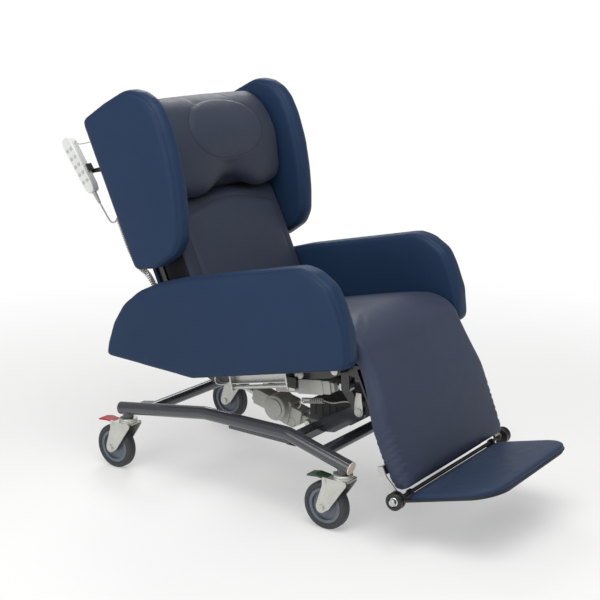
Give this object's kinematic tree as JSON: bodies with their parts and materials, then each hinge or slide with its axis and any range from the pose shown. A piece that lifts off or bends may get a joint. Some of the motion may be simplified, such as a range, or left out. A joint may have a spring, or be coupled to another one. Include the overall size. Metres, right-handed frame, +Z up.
{
  "type": "patient recliner chair",
  "caption": "Tilt-in-space patient recliner on braked casters: reclining winged back with pillow, upholstered armrests, powered leg rest, folding footplate and wired handset.",
  "frame": {"origin": "on the floor, midway between the four caster swivel axes", "axes": "+Z up; the sitter faces -Y; the sitter's right side, which carries the handset, is -X"},
  "size_m": [0.61, 1.3742, 1.0621],
  "materials": {
    "base_paint": "satin",
    "tube_plug": "matte",
    "zinc": "satin",
    "black_case": "matte",
    "frame_black": "satin",
    "plywood": "matte",
    "seat_vinyl": "satin",
    "back_vinyl": "satin",
    "navy_vinyl": "satin",
    "foot_vinyl": "satin",
    "foot_board": "matte",
    "rear_cover": "satin",
    "actuator_case": "matte",
    "actuator_rod": "satin",
    "handset_case": "matte",
    "cable": "matte",
    "roller_black": "satin",
    "caster_zinc": "satin",
    "wheel_hub": "matte",
    "tyre": "matte",
    "pedal_red": "satin",
    "pedal_green": "satin",
    "button_grey": "matte"
  },
  "bodies": {
    "base": {"base_frame": "base_paint", "base_tube_plugs": "tube_plug", "base_hinge_pins": "zinc", "battery_box": "black_case"},
    "seat": {"seat_frame": "frame_black", "armrest_carriers": "zinc", "seat_board": "plywood", "seat_cushion": "seat_vinyl", "seat_hinge_pins": "zinc", "control_box": "black_case", "armrest_right": "navy_vinyl", "armrest_left": "navy_vinyl", "knee_foam": "seat_vinyl"},
    "back": {"back_frame": "frame_black", "back_rear_cover": "rear_cover", "back_cushion": "back_vinyl", "headrest_pillow": "back_vinyl", "wing_right": "navy_vinyl", "wing_left": "navy_vinyl", "handset_holder": "frame_black", "handset_body": "handset_case", "handset_cable": "cable"},
    "leg_rest": {"leg_frame": "zinc", "leg_cushion": "seat_vinyl"},
    "footplate": {"footplate_board": "foot_board", "footplate_pad": "foot_vinyl"},
    "foot_roller_right": {"foot_roller_right": "roller_black"},
    "foot_roller_left": {"foot_roller_left": "roller_black"},
    "tilt_housing": {"tilt_actuator_housing": "actuator_case"},
    "tilt_piston": {"tilt_actuator_piston": "actuator_rod"},
    "leg_housing": {"leg_rest_actuator_housing": "actuator_case"},
    "leg_piston": {"leg_rest_actuator_piston": "actuator_rod"},
    "back_housing": {"back_actuator_housing": "actuator_case"},
    "back_piston": {"back_actuator_piston": "actuator_rod"},
    "caster_rear_right": {"rear_right_fork": "caster_zinc"},
    "wheel_rear_right": {"rear_right_hub": "wheel_hub", "rear_right_tyre": "tyre"},
    "pedal_rear_right": {"rear_right_brake_pedal": "pedal_red"},
    "caster_rear_left": {"rear_left_fork": "caster_zinc"},
    "wheel_rear_left": {"rear_left_hub": "wheel_hub", "rear_left_tyre": "tyre"},
    "pedal_rear_left": {"rear_left_brake_pedal": "pedal_red"},
    "caster_front_right": {"front_right_fork": "caster_zinc"},
    "wheel_front_right": {"front_right_hub": "wheel_hub", "front_right_tyre": "tyre"},
    "pedal_front_right": {"front_right_brake_pedal": "pedal_green"},
    "caster_front_left": {"front_left_fork": "caster_zinc"},
    "wheel_front_left": {"front_left_hub": "wheel_hub", "front_left_tyre": "tyre"},
    "pedal_front_left": {"front_left_brake_pedal": "pedal_green"},
    "switch_01": {"button_1": "button_grey"},
    "switch_02": {"button_2": "button_grey"},
    "switch_03": {"button_3": "button_grey"},
    "switch_04": {"button_4": "button_grey"},
    "switch_05": {"button_5": "button_grey"},
    "switch_06": {"button_6": "button_grey"},
    "switch_07": {"button_7": "button_grey"},
    "switch_08": {"button_8": "button_grey"},
    "switch_09": {"button_9": "button_grey"},
    "switch_10": {"button_10": "button_grey"}
  },
  "joints": [
    {"name": "seat_tilt", "type": "hinge", "parent": "base", "child": "seat", "pos_m": [0, -0.3308, 0.278], "axis": [-1, 0, 0], "range_deg": [-10, 10]},
    {"name": "backrest_recline", "type": "hinge", "parent": "seat", "child": "back", "pos_m": [0, 0.1592, 0.36], "axis": [-1, 0, 0], "range_deg": [-8, 50]},
    {"name": "legrest_raise", "type": "hinge", "parent": "seat", "child": "leg_rest", "pos_m": [0, -0.3174, 0.4055], "axis": [-1, 0, 0], "range_deg": [0, 75], "deforming": ["knee_foam"]},
    {"name": "footplate_fold", "type": "hinge", "parent": "leg_rest", "child": "footplate", "pos_m": [0, -0.5238, 0.132], "axis": [-1, 0, 0], "range_deg": [-10, 30]},
    {"name": "wheel_rear_right_swivel", "type": "hinge", "parent": "base", "child": "caster_rear_right", "pos_m": [-0.2547, 0.3592, 0.15], "axis": [0, 0, 1], "continuous": true},
    {"name": "wheel_rear_right_spin", "type": "hinge", "parent": "caster_rear_right", "child": "wheel_rear_right", "pos_m": [-0.2547, 0.4072, 0.0625], "axis": [1, 0, 0], "continuous": true},
    {"name": "wheel_rear_right_brake", "type": "hinge", "parent": "caster_rear_right", "child": "pedal_rear_right", "pos_m": [-0.2547, 0.3972, 0.1355], "axis": [-1, 0, 0], "range_deg": [0, 10]},
    {"name": "wheel_rear_left_swivel", "type": "hinge", "parent": "base", "child": "caster_rear_left", "pos_m": [0.2547, 0.3592, 0.15], "axis": [0, 0, 1], "continuous": true},
    {"name": "wheel_rear_left_spin", "type": "hinge", "parent": "caster_rear_left", "child": "wheel_rear_left", "pos_m": [0.2547, 0.4072, 0.0625], "axis": [1, 0, 0], "continuous": true},
    {"name": "wheel_rear_left_brake", "type": "hinge", "parent": "caster_rear_left", "child": "pedal_rear_left", "pos_m": [0.2547, 0.3972, 0.1355], "axis": [-1, 0, 0], "range_deg": [0, 10]},
    {"name": "wheel_front_right_swivel", "type": "hinge", "parent": "base", "child": "caster_front_right", "pos_m": [-0.2547, -0.3592, 0.15], "axis": [0, 0, 1], "continuous": true},
    {"name": "wheel_front_right_spin", "type": "hinge", "parent": "caster_front_right", "child": "wheel_front_right", "pos_m": [-0.2547, -0.3112, 0.0625], "axis": [1, 0, 0], "continuous": true},
    {"name": "wheel_front_right_brake", "type": "hinge", "parent": "caster_front_right", "child": "pedal_front_right", "pos_m": [-0.2547, -0.3212, 0.1355], "axis": [-1, 0, 0], "range_deg": [0, 10]},
    {"name": "wheel_front_left_swivel", "type": "hinge", "parent": "base", "child": "caster_front_left", "pos_m": [0.2547, -0.3592, 0.15], "axis": [0, 0, 1], "continuous": true},
    {"name": "wheel_front_left_spin", "type": "hinge", "parent": "caster_front_left", "child": "wheel_front_left", "pos_m": [0.2547, -0.3112, 0.0625], "axis": [1, 0, 0], "continuous": true},
    {"name": "wheel_front_left_brake", "type": "hinge", "parent": "caster_front_left", "child": "pedal_front_left", "pos_m": [0.2547, -0.3212, 0.1355], "axis": [-1, 0, 0], "range_deg": [0, 10]},
    {"name": "roller_right_spin", "type": "hinge", "parent": "leg_rest", "child": "foot_roller_right", "pos_m": [-0.277, -0.5238, 0.132], "axis": [1, 0, 0], "continuous": true},
    {"name": "roller_left_spin", "type": "hinge", "parent": "leg_rest", "child": "foot_roller_left", "pos_m": [0.277, -0.5238, 0.132], "axis": [1, 0, 0], "continuous": true},
    {"name": "tilt_actuator_rock", "type": "hinge", "parent": "base", "child": "tilt_housing", "pos_m": [-0.075, -0.1408, 0.195], "axis": [1, 0, 0], "range_deg": [-15.58, 15.58]},
    {"name": "tilt_actuator_stroke", "type": "slide", "parent": "tilt_housing", "child": "tilt_piston", "axis": [0, 0.9738, 0.2273], "range_m": [-0.02263, 0.02263]},
    {"name": "leg_rest_actuator_rock", "type": "hinge", "parent": "seat", "child": "leg_housing", "pos_m": [-0.175, -0.0838, 0.319], "axis": [1, 0, 0], "range_deg": [-7.07, 0.5]},
    {"name": "leg_rest_actuator_stroke", "type": "slide", "parent": "leg_housing", "child": "leg_piston", "axis": [0, -0.9909, 0.1349], "range_m": [-0.001, 0.06735]},
    {"name": "recline_actuator_rock", "type": "hinge", "parent": "seat", "child": "back_housing", "pos_m": [0.175, -0.1228, 0.327], "axis": [1, 0, 0], "range_deg": [-3.59, 0.99]},
    {"name": "recline_actuator_stroke", "type": "slide", "parent": "back_housing", "child": "back_piston", "axis": [0, 0.9958, -0.0917], "range_m": [-0.05986, 0.01042]},
    {"name": "switch_01_press", "type": "slide", "parent": "back", "child": "switch_01", "axis": [1, 0, 0], "range_m": [0, 0.001], "stiffness_N_per_m": 300},
    {"name": "switch_02_press", "type": "slide", "parent": "back", "child": "switch_02", "axis": [1, 0, 0], "range_m": [0, 0.001], "stiffness_N_per_m": 300},
    {"name": "switch_03_press", "type": "slide", "parent": "back", "child": "switch_03", "axis": [1, 0, 0], "range_m": [0, 0.001], "stiffness_N_per_m": 300},
    {"name": "switch_04_press", "type": "slide", "parent": "back", "child": "switch_04", "axis": [1, 0, 0], "range_m": [0, 0.001], "stiffness_N_per_m": 300},
    {"name": "switch_05_press", "type": "slide", "parent": "back", "child": "switch_05", "axis": [1, 0, 0], "range_m": [0, 0.001], "stiffness_N_per_m": 300},
    {"name": "switch_06_press", "type": "slide", "parent": "back", "child": "switch_06", "axis": [1, 0, 0], "range_m": [0, 0.001], "stiffness_N_per_m": 300},
    {"name": "switch_07_press", "type": "slide", "parent": "back", "child": "switch_07", "axis": [1, 0, 0], "range_m": [0, 0.001], "stiffness_N_per_m": 300},
    {"name": "switch_08_press", "type": "slide", "parent": "back", "child": "switch_08", "axis": [1, 0, 0], "range_m": [0, 0.001], "stiffness_N_per_m": 300},
    {"name": "switch_09_press", "type": "slide", "parent": "back", "child": "switch_09", "axis": [1, 0, 0], "range_m": [0, 0.001], "stiffness_N_per_m": 300},
    {"name": "switch_10_press", "type": "slide", "parent": "back", "child": "switch_10", "axis": [1, 0, 0], "range_m": [0, 0.001], "stiffness_N_per_m": 300}
  ],
  "couplings": [
    {"joint": "tilt_actuator_rock", "follows": "seat_tilt", "ratio": -1.5082},
    {"joint": "tilt_actuator_stroke", "follows": "seat_tilt", "m_per_rad": -0.12395},
    {"joint": "leg_rest_actuator_rock", "follows": "legrest_raise", "ratio": -0.08758},
    {"joint": "leg_rest_actuator_stroke", "follows": "legrest_raise", "m_per_rad": 0.050686},
    {"joint": "recline_actuator_rock", "follows": "backrest_recline", "ratio": -0.06184},
    {"joint": "recline_actuator_stroke", "follows": "backrest_recline", "m_per_rad": -0.067447}
  ]
}
